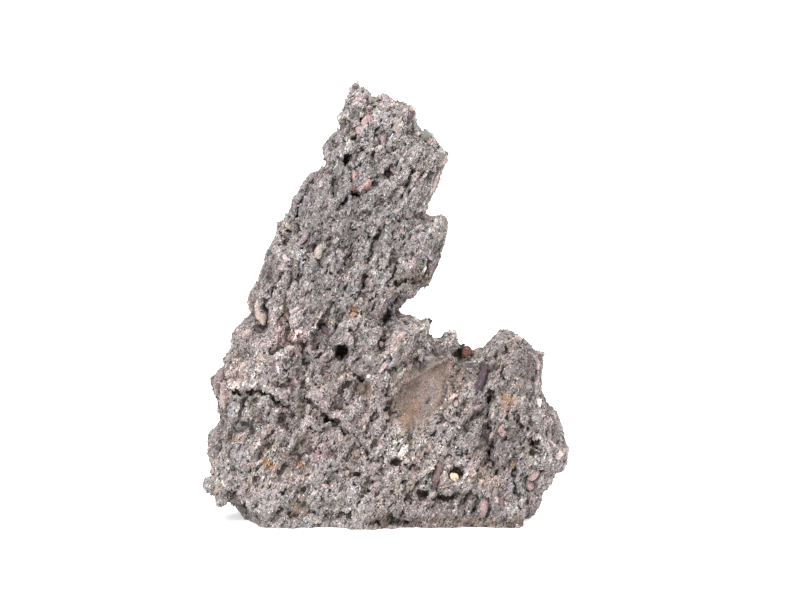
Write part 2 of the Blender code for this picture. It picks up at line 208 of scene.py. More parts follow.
# Creases and narrow cracks in the front, along points in the photo's pixels, with their
# half width and depth in mm
CREASES = {
    "brow crack": ([(226, 390), (245, 394.5), (262, 394), (272, 398), (282, 405)], 2, 11),
    "flank crease": ([(305, 399), (318, 411), (334, 423), (350, 436), (368, 452)], 2.2, 5),
    "rib slit": ([(490, 424), (493, 438), (491, 455)], 1.8, 8),
    "rib foot slit": ([(492, 462), (496, 476)], 1.6, 6),
    "spire seam": ([(313, 177), (304, 198), (297, 216)], 2, 4),
    "spire foot seam": ([(276, 285), (268, 303), (263, 320)], 1.8, 4.5),
    "cleft": ([(398, 300), (393, 309), (387, 322)], 3.4, 9),
    "hip slot": ([(365.5, 276), (363.5, 284), (361.5, 291)], 1.6, 7),
    "under the hip": ([(397, 284), (404, 279), (414, 281), (423, 277)], 1.8, 6),
    "shelf foot": ([(387, 396), (389, 410), (393, 419)], 2, 4),
    "upper flank": ([(304, 344), (306, 362)], 1.8, 3.5),
    "mid flank": ([(351, 371), (363, 386)], 1.8, 3.5),
    "hip shade": ([(430, 259), (425, 270), (417, 285)], 3, 7),
    "base arch": ([(376, 522), (388, 519), (403, 522)], 3, 6),
    "right crease": ([(531, 438), (534, 453)], 2.8, 7),
    "right upper": ([(517, 411), (521, 427)], 2.6, 7),
    "peak shade": ([(341, 157), (349, 168)], 2.8, 6),
    "salmon shade": ([(351, 193), (363, 199)], 2.4, 6),
    "spire streak": ([(379, 232), (373, 246), (367, 262)], 1.6, 4),
    "hip streak": ([(399, 262), (394, 276)], 1.6, 4),
    "left streak": ([(306, 262), (298, 282)], 1.8, 5),
    "neck streak": ([(414, 170), (404, 196)], 1.8, 5),
    "foot crease": ([(513, 470), (517, 495)], 2.2, 6),
    "shoulder streak": ([(507, 350), (503, 378)], 2, 6),
}

# Colours in linear light
MAUVE = (0.282, 0.232, 0.228)
LILAC = (0.31, 0.245, 0.27)
VIOLET = (0.1, 0.066, 0.086)
PINK = (0.47, 0.345, 0.342)
ROSE = (0.56, 0.41, 0.4)
SALMON = (0.46, 0.3, 0.28)
PALE_PINK = (0.49, 0.4, 0.37)
CREAM = (0.4, 0.35, 0.31)
HONEY = (0.84, 0.66, 0.46)
WHITE = (0.56, 0.54, 0.51)
TAN = (0.285, 0.212, 0.158)
HOLLOW_TAN = (0.245, 0.19, 0.165)
# Also used for the painted shade at the top of the tan hollow
HOLLOW_BROWN = (0.17, 0.128, 0.107)
GLOW_TAN = (0.258, 0.172, 0.118)
OCHRE = (0.33, 0.215, 0.13)
RUST = (0.3, 0.168, 0.098)
DEEP_RUST = (0.24, 0.1, 0.045)
OLIVE = (0.225, 0.208, 0.16)
MAUVE_RED = (0.215, 0.142, 0.148)
CREAM_PINK = (0.5, 0.41, 0.375)
PALE_OLIVE = (0.52, 0.48, 0.42)
# Brown of clasts and dirt, also used for painted shadows along the foot, under the hip and in the tan
# hollow
BROWN = (0.145, 0.105, 0.082)
SLATE = (0.125, 0.122, 0.122)
# The mauve grey of the painted shade stains
DUSK = (0.148, 0.126, 0.124)
RED_BROWN = (0.19, 0.085, 0.06)
GREEN_GREY = (0.232, 0.232, 0.212)
ASH = (0.36, 0.335, 0.325)
BLUE_GREY = (0.285, 0.285, 0.292)

# Broken blocks with a tint of their own: size in mm, seed, stretch along the beds, strength
PATCHES = ((13, 44, 2.6, 0.46), (7.5, 71, 2.2, 0.44), (3.6, 74, 1.8, 0.3))
PATCH_TINTS = [
    MAUVE, ASH, GREEN_GREY, LILAC, BLUE_GREY, WHITE, SLATE, PALE_PINK, MAUVE, TAN, OLIVE,
    BLUE_GREY, ASH, GREEN_GREY,
]

# Blotches all over the stone: colour, size in mm, seed, the level they start at, strength
BLOTCHES = {
    "ash": (ASH, 30, 201, -0.1, 0.6),
    "pale": (WHITE, 17, 203, 0.42, 0.45),
    "green grey": (GREEN_GREY, 34, 205, 0.1, 0.5),
    "slate": (SLATE, 18, 209, 0.45, 0.45),
    "lilac": (LILAC, 24, 213, 0.35, 0.5),
    "tan": (TAN, 22, 217, 0.42, 0.5),
    "pale pink": (PALE_PINK, 15, 221, 0.45, 0.55),
    "rust": (RUST, 12, 225, 0.8, 0.45),
    "dirt": (BROWN, 13, 229, 0.5, 0.45),
}

# The widths of grains and clasts in mm, and how light the grains are, as shares
GRAIN = 1.25
CLAST = 4.5
GRAIN_TONES = [(0.0, 0.42), (0.12, 0.72), (0.3, 0.94), (0.75, 1.1), (0.93, 1.35), (1.0, 1.9)]
GRAIN_HUE_STOPS = [
    (0.0, (1.0, 1.0, 1.0)),
    (0.28, (1.05, 0.96, 1.04)),
    (0.48, (0.95, 1.01, 0.97)),
    (0.6, (1.1, 0.96, 0.96)),
    (0.72, (0.94, 0.99, 1.08)),
    (0.9, (1.06, 1.0, 0.9)),
]
GRAIN_HUES = [hue for _, hue in GRAIN_HUE_STOPS] + [(1.0, 1.0, 1.0), (1.05, 0.97, 1.0)]

# Grains that stand in the skin, each size by its half sizes in mm and its shape. Calm is
# how many stay off smooth stone, spread and jitter are how uneven their sizes and corners
# are, sunk is how deep they sit by their half thickness, and stray and tilt turn them.
# Contrast and hued are how their colours vary, and faded is how grey they are.
Grains = namedtuple(
    "Grains", "count seed sizes shape calm spread jitter sunk stray tilt brightness contrast hued faded"
)
GRAINS = {
    "rock-slabs": Grains(
        5000, 291, (3.3, 1.5, 0.9), "block", 1.0, 0.32, 0.42, 0.55, 0.28, 0.26, 1.0, 0.24, 0.8, 0.0
    ),
    "rock-shards": Grains(
        12000, 301, (2.2, 0.9, 0.6), "block", 0.99, 0.35, 0.4, 0.55, 0.3, 0.32, 1.02, 0.25, 0.45, 0.1
    ),
    "rock-grains": Grains(
        14000, 311, (1.0, 0.6, 0.45), "block", 0.97, 0.3, 0.38, 0.35, 0.6, 0.4, 1.0, 0.34, 0.25, 0.2
    ),
    "rock-grit": Grains(
        16400, 321, (0.65, 0.5, 0.35), "block", 0.9, 0.25, 0.35, 0.2, 1.2, 0.5, 1.0, 0.5, 0.2, 0.3
    ),
    "rock-crystals": Grains(
        9000, 331, (0.8, 0.45, 0.4), "crystal", 0.85, 0.3, 0.2, 0.15, 1.0, 0.6, 2.0, 0.25, 0.15, 0.85
    ),
}

# Small pebbles on all sides, and their colours
STRAY_PEBBLES = 360
STRAY_TINTS = [MAUVE, LILAC, PINK, PALE_PINK, CREAM, WHITE, SLATE, TAN, OLIVE, ASH, VIOLET]

# How many flat sides a clast is cut by
FACETS = 12

# How deep a crease is, in mm, where no grains lie in it, and how far they keep off a
# pebble, where 1 is its rim
CREASE_BARE = 2.4
PEBBLE_EDGE = 1.08

# How far up from the ground nothing is set into the skin, and how low what is set into
# it may reach, in mm
BARE_FOOT = 1.0
OFF_GROUND = 0.05

# The share of red, green and blue light that a colour of 1 gives back here
ALBEDO = np.array([0.558, 0.535, 0.526])

# The studio: a white floor that glows a little, an even white sky, and lamps by place,
# size and power
PLAIN_WHITE = (1.0, 1.0, 1.0, 1.0)
FLOOR_SIZE = 12.0
FLOOR_GLOW = 0.3
SKY_STRENGTH = 1.6
SOFTBOXES = {
    "key": ((-0.7, -1.5, 2.2), 1.1, 88.0),
    "fill": ((1.6, -1.5, 1.0), 1.4, 12.0),
    "left side": ((-1.8, -0.7, 0.6), 1.2, 12.0),
    "right side": ((1.8, -0.7, 0.6), 1.2, 12.0),
    "back": ((0.6, 1.6, 1.8), 1.4, 12.0),
}

# Stains, painted shade and painted light in the front of the skin, placed in the photo's pixels:
# (across, down, half width, half height, turn in degrees, colour, strength)
STAINS = {
    "tan hollow": (426, 396, 20, 39, -33, HOLLOW_TAN, 0.85),
    "tan glow": (409, 414, 9, 17, -28, GLOW_TAN, 0.7),
    "low tan left": (300, 509, 13, 8, 0, OCHRE, 0.7),
    "low tan right": (338, 508, 10, 8, 0, HOLLOW_BROWN, 0.9),
    "rust left": (267, 463, 7, 5, -30, RUST, 0.9),
    "rust left end": (275, 467, 4, 3, 0, RUST, 0.8),
    "rust middle": (302, 463, 5, 5, 0, RUST, 0.75),
    "rust pit": (354, 311, 5, 7, -10, DEEP_RUST, 0.9),
    "slot tan": (360, 301, 6, 10, -25, CREAM, 0.6),
    "rust streak": (363, 210, 3, 5, 0, RUST, 0.7),
    "flank tan": (360, 457, 12, 10, 0, HOLLOW_BROWN, 0.9),
    "rib ochre": (508, 398, 8, 5, 0, OCHRE, 0.85),
    "rib tan": (505, 408, 7, 8, 0, TAN, 0.6),
    "foot tan": (490, 472, 12, 18, 0, TAN, 0.6),
    "shoulder tan": (532, 455, 8, 10, 0, OLIVE, 0.6),
    "olive patch": (295, 228, 12, 8, -30, PALE_OLIVE, 0.7),
    "olive ledge": (237, 438, 9, 6, 0, OCHRE, 0.45),
    "left pale patch": (236, 376, 12, 15, -20, PALE_PINK, 0.75),
    "upper pale patch": (294, 340, 17, 10, -20, ROSE, 0.8),
    "flank pink": (318, 178, 9, 8, 0, PINK, 0.4),
    "crest pink": (361, 99, 7, 7, 0, PINK, 0.4),
    "boss pink": (388, 101, 9, 6, 0, PINK, 0.35),
    "right red": (406, 109, 5, 4, 0, SALMON, 0.4),
    "mauve field": (330, 425, 55, 42, -25, MAUVE, 0.4),
    "mauve patch": (323, 448, 7, 13, -20, MAUVE_RED, 0.5),
    "slate patch": (243, 428, 12, 8, -10, SLATE, 0.6),
    "brown clast": (362, 388, 9, 10, 0, BROWN, 0.95),
    "green field": (425, 130, 24, 30, -20, OLIVE, 0.22),
    "blue field": (445, 430, 30, 26, 0, SLATE, 0.18),
    # Painted shadow along the foot of the stone
    "painted shadow": (456, 522, 92, 5, 0, BROWN, 0.7),
    # Painted shadow in the gap of the base arch
    "left painted shadow": (378, 518, 15, 11, 0, BROWN, 0.8),
    "pale cheek": (398, 449, 8, 8, 0, WHITE, 0.5),
    "vug rim": (457, 473, 10, 13, 0, WHITE, 0.45),
    "low hollow pale": (446, 430, 20, 14, -20, ASH, 0.6),
    # Partly a pale grey-beige tone, partly painted light over the shade of the left foot
    "left foot pale tone and painted light": (305, 512, 74, 26, 4, ASH, 0.85),
    # Painted light on the left edge
    "painted light on the left edge": (224, 477, 14, 13, 0, WHITE, 0.4),
    "left edge shade": (222, 448, 14, 10, 0, DUSK, 0.35),
    "spire shade": (328, 207, 40, 38, -32, DUSK, 0.85),
    "neck shade": (381, 214, 16, 42, 0, DUSK, 0.64),
    "upper left shade": (334, 142, 9, 12, 0, DUSK, 0.45),
    "spire middle shade": (386, 240, 30, 36, -20, DUSK, 0.45),
    "left spire shade": (268, 282, 12, 30, -25, DUSK, 0.45),
    "spire foot shade": (330, 290, 44, 26, 0, DUSK, 0.48),
    "pink edge": (224, 396, 5, 16, -4, PALE_PINK, 0.8),
    "peak shade": (354, 164, 14, 12, 0, DUSK, 0.75),
    "upper flank shade": (338, 352, 42, 18, 0, DUSK, 0.42),
    "left flank shade": (257, 330, 12, 9, -20, DUSK, 0.55),
    "rib shade": (500, 446, 24, 26, 0, DUSK, 0.72),
    "shoulder shade": (526, 362, 18, 22, 0, DUSK, 0.7),
    "base shade": (440, 508, 60, 16, 0, DUSK, 0.25),
    # Painted shade at the top of the tan hollow, under the brow
    "painted shade at the hollow's top": (452, 377, 16, 17, 0, HOLLOW_BROWN, 0.85),
    # Painted light on the low flank, over the shade of its slots
    "painted light on the low flank": (378, 464, 16, 18, 0, ASH, 0.7),
    # Painted light on the right edge and foot
    "painted light on the right edge": (552, 470, 20, 26, 0, ASH, 0.65),
    # Painted shadow under the brow of the tan hollow
    "hollow brow": (424, 373, 26, 8, 24, BROWN, 0.65),
    # Painted shade on the left side of the tan hollow
    "painted shade on the hollow's side": (401, 402, 9, 22, -28, BROWN, 0.75),
    "cool spire": (368, 205, 62, 100, -24, BLUE_GREY, 0.35),
    # Painted top light on the saddle
    "painted top light on the saddle": (438, 332, 24, 13, 0, WHITE, 0.45),
    # Painted shadow in the cleft between the spire and the shelf
    "cleft painted shadow": (392, 312, 5, 18, -15, SLATE, 0.6),
    # Painted shadow under the spire's hip
    "hip painted shadow": (421, 277, 13, 10, 20, BROWN, 0.8),
}

# Pebbles set in the front, placed in the photo's pixels:
# (across, down, half width, half length, turn in degrees, how far proud in mm, colour)
PEBBLES = {
    "upper pink": (367, 121, 4.8, 8.2, -30, 1.8, PINK),
    "lower pink": (359, 130, 4.4, 4.4, 0, 1.6, PINK),
    "lilac needle": (383, 140, 2.8, 8, -4, 1.6, LILAC),
    "neck pink": (394, 170, 3.8, 5.8, 28, 1.8, PINK),
    "salmon streak": (354, 176, 2.6, 6.2, 0, 1.4, SALMON),
    "red streak": (354, 189, 2.2, 5, 0, 1.2, RED_BROWN),
    "salmon": (366, 185, 4.4, 7.6, -40, 2.4, SALMON),
    "left mauve": (305, 236, 3.2, 9, -38, 1.4, LILAC),
    "right mauve": (410, 215, 2.4, 5.6, -56, 1, LILAC),
    "pale pink": (387, 220, 4.2, 4.6, 0, 0.8, PALE_PINK),
    "cream": (318, 252, 3.8, 6.8, 0, 1.6, CREAM),
    "grey clast": (369, 284, 4.6, 7, -10, 1, MAUVE),
    "brown clast": (362, 388, 4.6, 5.6, -10, 1, BROWN),
    "left cream": (260, 312, 5.8, 13.5, 12, 1.6, CREAM_PINK),
    "left flank cream": (247, 334, 5, 7, -40, 1.6, PALE_PINK),
    "pink strip": (224, 396, 4.4, 16, -4, 2.2, CREAM_PINK),
    "grey knob": (218, 379, 4.6, 9, -14, 2, MAUVE),
    "cream drop": (247, 403, 3, 3.8, 0, 1, CREAM),
    "ledge pink": (285, 410, 4.2, 2.8, 0, 1, PINK),
    "violet": (326, 331, 3, 7, 40, 1, VIOLET),
    "mid pink": (381, 344, 2.6, 3.8, 0, 0.8, PALE_PINK),
    "left brown": (215, 440, 4.2, 7.6, -10, 1.4, MAUVE),
    "low pink": (347, 473, 3, 3.4, 0, 1, PALE_PINK),
    "flank mauve": (375, 416, 1.8, 4, -30, 0.8, LILAC),
    "saddle red": (466, 353, 5.8, 7.8, -14, 4.4, RED_BROWN),
    "purple streak": (482, 378, 4.2, 16, -20, 2.2, VIOLET),
    "hollow violet": (422, 366, 1.8, 6, -4, 0.8, VIOLET),
    "salmon drop": (503, 431, 4.2, 6.6, -8, 2, PINK),
    "edge pink": (537, 363, 3.2, 7, 4, 1.6, PINK),
    "shoulder pink": (518, 339, 4.4, 4, 0, 0.8, PALE_PINK),
    "foot pink": (533, 475, 6.6, 5.2, 30, 3, ROSE),
    "lower foot pink": (528, 484, 5, 5.8, 20, 5, ROSE),
    "foot cream": (513, 464, 3, 5, 0, 1, OCHRE),
    "mauve blade": (438, 473, 3.8, 16, -20, 2, MAUVE_RED),
    "blade cream": (448, 460, 2, 4.4, -20, 1, CREAM),
    "base pink": (483, 509, 5.6, 11, -16, 2.4, PINK),
    "base mauve": (496, 490, 3, 8, -16, 1, MAUVE),
    "base red": (502, 503, 3.4, 8.4, 14, 1.6, MAUVE_RED),
    "cheek pink": (407, 459, 4, 5, -20, 0.8, PALE_PINK),
    "cheek violet": (412, 454, 2.4, 3.2, 0, 0.8, LILAC),
    "peak olive": (343, 121, 4.4, 4.2, 0, 1.2, OLIVE),
    "peak slate": (354, 116, 4, 3, 0, 1, SLATE),
    "neck salmon": (429, 142, 3.6, 3, 0, 0.8, SALMON),
    "rim cream": (442, 162, 3.8, 6.8, -28, 2.4, CREAM),
    "rim strip": (435, 186, 2.6, 16, -22, 1.2, PALE_PINK),
    "hollow cream": (456, 403, 2.4, 3.6, 0, 0.8, PALE_PINK),
    "flat olive": (292, 228, 8, 4.6, -30, 0.8, PALE_OLIVE),
    "vug honey": (452.5, 478.5, 4.4, 4.9, 30, 8, HONEY),
    "hole brown": (338, 358, 3.4, 2.6, 0, 1.4, BROWN),
    "low tan": (299, 510, 11.5, 7.5, 0, 1.4, TAN),
    "crack slate": (243, 429, 9, 5.4, -10, 0.8, SLATE),
    "slot rust": (354, 311, 2.6, 4.6, -10, 0.8, DEEP_RUST),
    "slot tan": (360, 301, 3.8, 7.6, -28, 0.8, CREAM),
}


def smoothstep(t):
    t = np.clip(t, 0.0, 1.0)
    return t * t * (3.0 - 2.0 * t)


def chance(cells, seed):
    """Three numbers from 0 to 1 for each whole-numbered cell, always the same ones."""
    x, y, z = cells.astype(np.int64).T
    mixed = x * 73856093 ^ y * 19349663 ^ z * 83492791 ^ (seed + 11) * 2654435761
    numbers = []
    for turn in (1, 2, 3):
        mixed = (mixed ^ (mixed >> 13)) * 1274126177 + turn * 97531
        mixed &= 0xFFFFFFFF
        numbers.append(((mixed ^ (mixed >> 16)) & 0xFFFF) / 65536.0)
    return np.stack(numbers, axis=1)


def ripple(points, seed):
    """Smooth noise from about -1 to 1, with one lump to each unit of the points."""
    cell = np.floor(points)
    share = points - cell
    fade = share**3 * (share * (share * 6.0 - 15.0) + 10.0)
    total = np.zeros(len(points))
    for corner in product((0.0, 1.0), repeat=3):
        slope = 2.0 * chance(cell + corner, seed) - 1.0
        weight = np.where(np.array(corner) > 0, fade, 1.0 - fade).prod(axis=1)
        total += weight * (slope * (share - corner)).sum(axis=1)
    return 1.7 * total


def swell(places, size, seed):
    """Fractal noise in lumps of this size in mm, each octave half as strong."""
    points = places / (size * MM)
    return ripple(points, seed) + 0.5 * ripple(2 * points, seed + 1) + 0.25 * ripple(4 * points, seed + 2)


def along_beds(places, stretch):
    """The places turned to the beds and shortened along them, so that noise runs along."""
    c, s = math.cos(BEDDING), math.sin(BEDDING)
    x, y, z = places.T
    return np.stack([(x * c + z * s) / stretch, y, z * c - x * s], axis=1)


def nearest_block(places, size, seed):
    """The cell of the broken block that each place is in, and the way from its middle."""
    points = places / (size * MM)
    cell = np.floor(points)
    nearest = np.full(len(points), np.inf)
    found, way = cell.copy(), np.zeros_like(cell)
    for offset in product((-1.0, 0.0, 1.0), repeat=3):
        at = cell + offset
        away = points - at - chance(at, seed)
        distance = (away**2).sum(axis=1)
        nearer = distance < nearest
        nearest[nearer] = distance[nearer]
        found[nearer] = at[nearer]
        way[nearer] = away[nearer]
    return found, way


def blocks(places, size, seed):
    """Heights from about -1 to 1 of broken blocks of this size in mm: each has its own
    level and its own slope, with a step to the next."""
    cell, away = nearest_block(places, size, seed)
    tilt = 2.4 * (chance(cell, seed + 1) - 0.5)
    level = 1.4 * (chance(cell, seed + 2)[:, 0] - 0.5)
    return level + (away * tilt).sum(axis=1)


def outline_points():
    """The outline in metres, run on below the base, where the stone is sawn off."""
    traced = LEFT_FLANK + SPIRE_LEFT + CREST + SPIRE_RIGHT + SADDLE + SHOULDER
    left, right = traced[0][0], traced[-1][0]
    return np.array([(left, -BURIED)] + traced + [(right, -BURIED)], float) * MM


def gap_to(points, start, run, square):
    """How far each point lies from a straight run, whose length squared is given."""
    share = np.clip((points - start) @ run / square, 0.0, 1.0)
    return np.linalg.norm(start + share[:, None] * run - points, axis=1)


def to_outline(places, outline):
    """For each place: its distance to the outline and the way from there to the inside,
    shorter where several sides are near."""
    flat = places[:, [0, 2]]
    gap = np.full(len(flat), np.inf)
    inwards = np.zeros((len(flat), 2))
    weights = np.zeros(len(flat))
    for start, end in zip(outline[:-1], outline[1:]):
        run = end - start
        length = np.hypot(*run)
        distance = gap_to(flat, start, run, length**2)
        gap = np.minimum(gap, distance)
        weight = length / (distance + 5 * MM) ** 4
        inwards += weight[:, None] * np.array([run[1], -run[0]]) / length
        weights += weight
    return gap, inwards / weights[:, None]


def shares_of(flat, x, z, half_width, half_height, turn, margin=0.0):
    """How far each point lies across and along a leaning oval, where 1 is its rim."""
    c, s = math.cos(math.radians(turn)), math.sin(math.radians(turn))
    dx, dz = flat[:, 0] - x, flat[:, 1] - z
    return (dx * c + dz * s) / (half_width + margin), (dz * c - dx * s) / (half_height + margin)


def reach_of(flat, *oval):
    """How far each point lies from the middle of a leaning oval, where 1 is its rim."""
    return np.hypot(*shares_of(flat, *oval))


def forms(places, table):
    """The summed rise of a table of swells and hollows, in mm."""
    total = np.zeros(len(places))
    for *oval, rise in table.values():
        across, along = shares_of(places[:, [0, 2]] / MM, *oval)
        total += rise * np.exp(-((across**2 + along**2) ** 1.5))
    return total


def ledges(places, table):
    """The summed rise of a table of ledges, in mm."""
    total = np.zeros(len(places))
    flat = places[:, [0, 2]] / MM
    for start, end, rise, reach in table.values():
        run = np.array(end, float) - start
        length = np.hypot(*run)
        share = (flat - start) @ run / length**2
        left = (flat - start) @ np.array([-run[1], run[0]]) / length
        ends = smoothstep((share + 0.15) / 0.3) * smoothstep((1.15 - share) / 0.3)
        fall = np.exp(-np.maximum(left, 0.0) / reach)
        total += rise * ends * smoothstep(left / 4.0 + 0.5) * fall
    return total


def pits(places, table):
    """The summed depth of a table of pits with steep, uneven sides, in mm."""
    total = np.zeros(len(places))
    uneven = 1.0 + 0.3 * ripple(places / (6 * MM), 61)
    for *oval, depth in table.values():
        reach = uneven * reach_of(places[:, [0, 2]] / MM, *oval)
        total = np.maximum(total, depth * smoothstep((1.2 - reach) / 0.45))
    return total


def half_depth(heights):
    """Half of the stone's depth at each height, in metres."""
    stations = [-BURIED, 0.0, WAIST_HEIGHT, TOP_HEIGHT]
    depths = [BASE_DEPTH, BASE_DEPTH, WAIST_DEPTH, TOP_DEPTH]
    return np.interp(heights / MM, stations, depths) * MM / 2


def places_of(obj, what="co"):
    found = np.empty(len(obj.data.vertices) * 3)
    obj.data.vertices.foreach_get(what, found)
    return found.reshape(-1, 3)


def normals_of(obj):
    return places_of(obj, "normal")


def put_places(obj, places):
    obj.data.vertices.foreach_set("co", places.ravel())
    obj.data.update()


def added(name, data):
    """A new object in the scene."""
    obj = bpy.data.objects.new(name, data)
    bpy.context.scene.collection.objects.link(obj)
    return obj


def evaluated(obj):
    graph = bpy.context.evaluated_depsgraph_get()
    return bpy.data.meshes.new_from_object(obj.evaluated_get(graph))


def apply_modifiers(obj):
    made = evaluated(obj)
    obj.modifiers.clear()
    old, obj.data = obj.data, made
    bpy.data.meshes.remove(old)


def remesh(obj, voxel, smoothings):
    """Covers the object with even faces, and evens out the steps that they leave."""
    even = obj.modifiers.new("even faces", "REMESH")
    even.mode = "VOXEL"
    even.voxel_size = voxel * MM
    smooth = obj.modifiers.new("no stair steps", "SMOOTH")
    smooth.factor = 0.5
    smooth.iterations = smoothings
    apply_modifiers(obj)


def slab(outline):
    """The outline as a slab of even depth, standing upright."""
    curve = bpy.data.curves.new("outline", "CURVE")
    curve.dimensions = "2D"
    curve.fill_mode = "BOTH"
    curve.extrude = BASE_DEPTH * MM / 2
    line = curve.splines.new("POLY")
    line.points.add(len(outline) - 1)
    for point, (x, z) in zip(line.points, outline):
        point.co = (x, z, 0.0, 1.0)
    line.use_cyclic_u = True
    drawn = added("outline", curve)
    mesh = evaluated(drawn)
    bpy.data.objects.remove(drawn)
    shape = bmesh.new()
    shape.from_mesh(mesh)
    bmesh.ops.remove_doubles(shape, verts=shape.verts, dist=1e-5)
    shape.to_mesh(mesh)
    shape.free()
    mesh.transform(Matrix.Rotation(math.radians(90), 4, "X"))
    skin = added("rock-skin", mesh)
    remesh(skin, COARSE_VOXEL, smoothings=0)
    return skin


def round_off(skin, outline):
    """Brings the slab to the stone's depth at each place, with broken, sloping sides."""
    places = places_of(skin)
    gap, inwards = to_outline(places, outline)
    level = places * [1.0, 0.0, 1.0]
    side = places[:, 1] / (BASE_DEPTH * MM / 2)
    full = half_depth(places[:, 2])
    front = places[:, 1] < 0
    rim = full * np.where(front, 0.50 + 0.24 * swell(level, 64, 21), 0.34 + 0.24 * swell(level, 70, 22))
    slope = np.where(front, 1.5 + 0.9 * swell(level, 80, 23), 0.8 + 0.5 * swell(level, 90, 24))
    depth = rim + np.maximum(slope, 0.25) * gap
    blend = 9 * MM
    depth = -blend * np.logaddexp(-depth / blend, -full / blend)
    widest = np.clip(0.9 * swell(level, 60, 25), -0.7, 0.7)
    draw = (9.0 + 6.0 * swell(level, 40, 26)) * MM * (side - widest) ** 2
    draw = np.clip(draw, 0.0, 15 * MM) * smoothstep(1.0 - gap / (26 * MM))
    sway = 7 * MM * ripple(level / (150 * MM), 27)
    places[:, 0] += inwards[:, 0] * draw
    places[:, 2] += inwards[:, 1] * draw
    places[:, 1] = side * depth + sway
    put_places(skin, places)
    remesh(skin, COARSE_VOXEL, smoothings=2)


def weather(skin, outline):
    """Raises the swells, ledges, beds and broken blocks, and sinks the pits."""
    places, normals = places_of(skin), normals_of(skin)
    gap, _ = to_outline(places, outline)
    inner = smoothstep(gap / (18 * MM))
    front = normals[:, 1] < 0
    relief = np.where(
        front,
        forms(places, FRONT_FORMS) + ledges(places, FRONT_LEDGES),
        forms(places, BACK_FORMS),
    )
    relief += 5.0 * swell(places, 52, 31)
    moved = np.where(front, -1.0, 1.0) * relief * np.abs(normals[:, 1]) * inner
    bedded = along_beds(places, 2.6)
    lift = 5.0 * blocks(bedded, 27, 41) + 1.6 * blocks(bedded, 13, 44) + 1.1 * swell(places, 9, 47)
    lift = inner * lift + (1.0 - inner) * (1.1 - 0.35 * np.abs(lift))
    lift *= 1.0 - 0.75 * calm_at(places)
    foot = smoothstep(1.0 - places[:, 2] / (9 * MM)) * inner
    lift -= foot * 5 * np.clip(0.1 + 1.5 * swell(places, 13, 51), 0.0, 1.0)
    sunk = np.where(front, pits(places, FRONT_PITS), -pits(places, BACK_PITS))
    facing = smoothstep(np.abs(normals[:, 1]) / 0.5)
    places += normals * lift[:, None] * MM
    places[:, 1] += (moved + sunk * facing) * MM
    put_places(skin, places)
    remesh(skin, FINE_VOXEL, smoothings=1)


def calm_at(places):
    """1 where the skin is worn smooth, as in the tan hollow, and 0 elsewhere."""
    *oval, _ = FRONT_FORMS["tan hollow"]
    reach = reach_of(places[:, [0, 2]] / MM, *oval) + 0.16 * swell(places, 14, 93)
    return smoothstep((1.25 - reach) / 0.7) * (places[:, 1] < 0)


def seen_at(places):
    """The photo's pixel, across and down, that each place falls on."""
    ahead, up = camera_axes()
    away = places - VIEW_MIDDLE + CAMERA_DISTANCE * ahead
    scale = PHOTO_WIDTH * CAMERA_DISTANCE / VIEW_WIDTH / (away @ ahead)
    return PHOTO_WIDTH / 2 + scale * away[:, 0], PHOTO_HEIGHT / 2 - scale * (away @ up)


def camera_axes():
    """The ways that the camera looks and that its top points."""
    c, s = math.cos(CAMERA_RISE), math.sin(CAMERA_RISE)
    return np.array([0.0, c, -s]), np.array([0.0, s, c])


def reach_in_photo(places, across, down, half_width, half_height, turn, margin=0.0):
    """How far each place lies from the middle of an oval in the photo, where 1 is its rim."""
    x, y = seen_at(places)
    return reach_of(np.stack([x, -y], axis=1), across, -down, half_width, half_height, turn, margin)


def reach_to_pebbles(places, margin):
    """How far each place lies from the middle of the front's nearest pebble, where 1 is
    its rim with a margin in pixels around it."""
    reach = np.full(len(places), np.inf)
    for *oval, _, _ in PEBBLES.values():
        reach = np.minimum(reach, reach_in_photo(places, *oval, margin))
    return reach


def sockets(places):
    """How deep the narrow gaps around the front's pebbles are, in mm."""
    uneven = 1.0 + 0.2 * ripple(places / (4 * MM), 63)
    reach = uneven * reach_to_pebbles(places, 1.2)
    return 1.7 * smoothstep((1.3 - reach) / 0.4) * (places[:, 1] < 0)


def creases(places):
    """How deep the front's creases are, in mm, with thin, uneven ends."""
    total = np.zeros(len(places))
    astray = np.stack([swell(places, 13, 65), swell(places, 13, 66)], axis=1)
    seen = np.stack(seen_at(places), axis=1) + 3.2 * astray
    uneven = np.clip(0.95 + 0.75 * swell(places, 9, 67), 0.55, 1.4)
    for points, half_width, depth in CREASES.values():
        reach = np.full(len(places), np.inf)
        route = np.array(points, float)
        for start, end in zip(route[:-1], route[1:]):
            run = end - start
            reach = np.minimum(reach, gap_to(seen, start, run, run @ run))
        valley = 0.22 * depth * np.exp(-((reach / (3.2 * half_width)) ** 2))
        slot = 0.75 * depth * uneven * smoothstep((1.4 * uneven - reach / half_width) / 0.8)
        total = np.maximum(total, valley + slot)
    return total * (places[:, 1] < 0)


def roughen(skin, outline):
    """Breaks the skin into shards, lumps and pores."""
    places, normals = places_of(skin), normals_of(skin)
    gap, _ = to_outline(places, outline)
    inner = smoothstep(gap / (7 * MM))
    lift = 1.2 * blocks(along_beds(places, 2.2), 7.5, 71) + 0.7 * blocks(along_beds(places, 1.8), 3.6, 74)
    lift += 0.45 * swell(places, 4, 77)
    lift -= 3.6 * smoothstep((swell(along_beds(places, 1.9), 4.2, 81) - 0.50) / 0.25)
    lift -= 3.6 * smoothstep((swell(along_beds(places, 3.0), 6, 84) - 0.92) / 0.2)
    lift *= 1.0 - 0.88 * calm_at(places)
    lift -= sockets(places - TO_ORIGIN)
    lift = np.where(lift > 0, lift * (0.6 + 0.4 * inner), lift * (0.8 + 0.2 * inner))
    sunk = creases(places - TO_ORIGIN) * smoothstep(-normals[:, 1] / 0.5) * inner
    places += normals * lift[:, None] * MM
    places[:, 1] += sunk * MM
    put_places(skin, places)


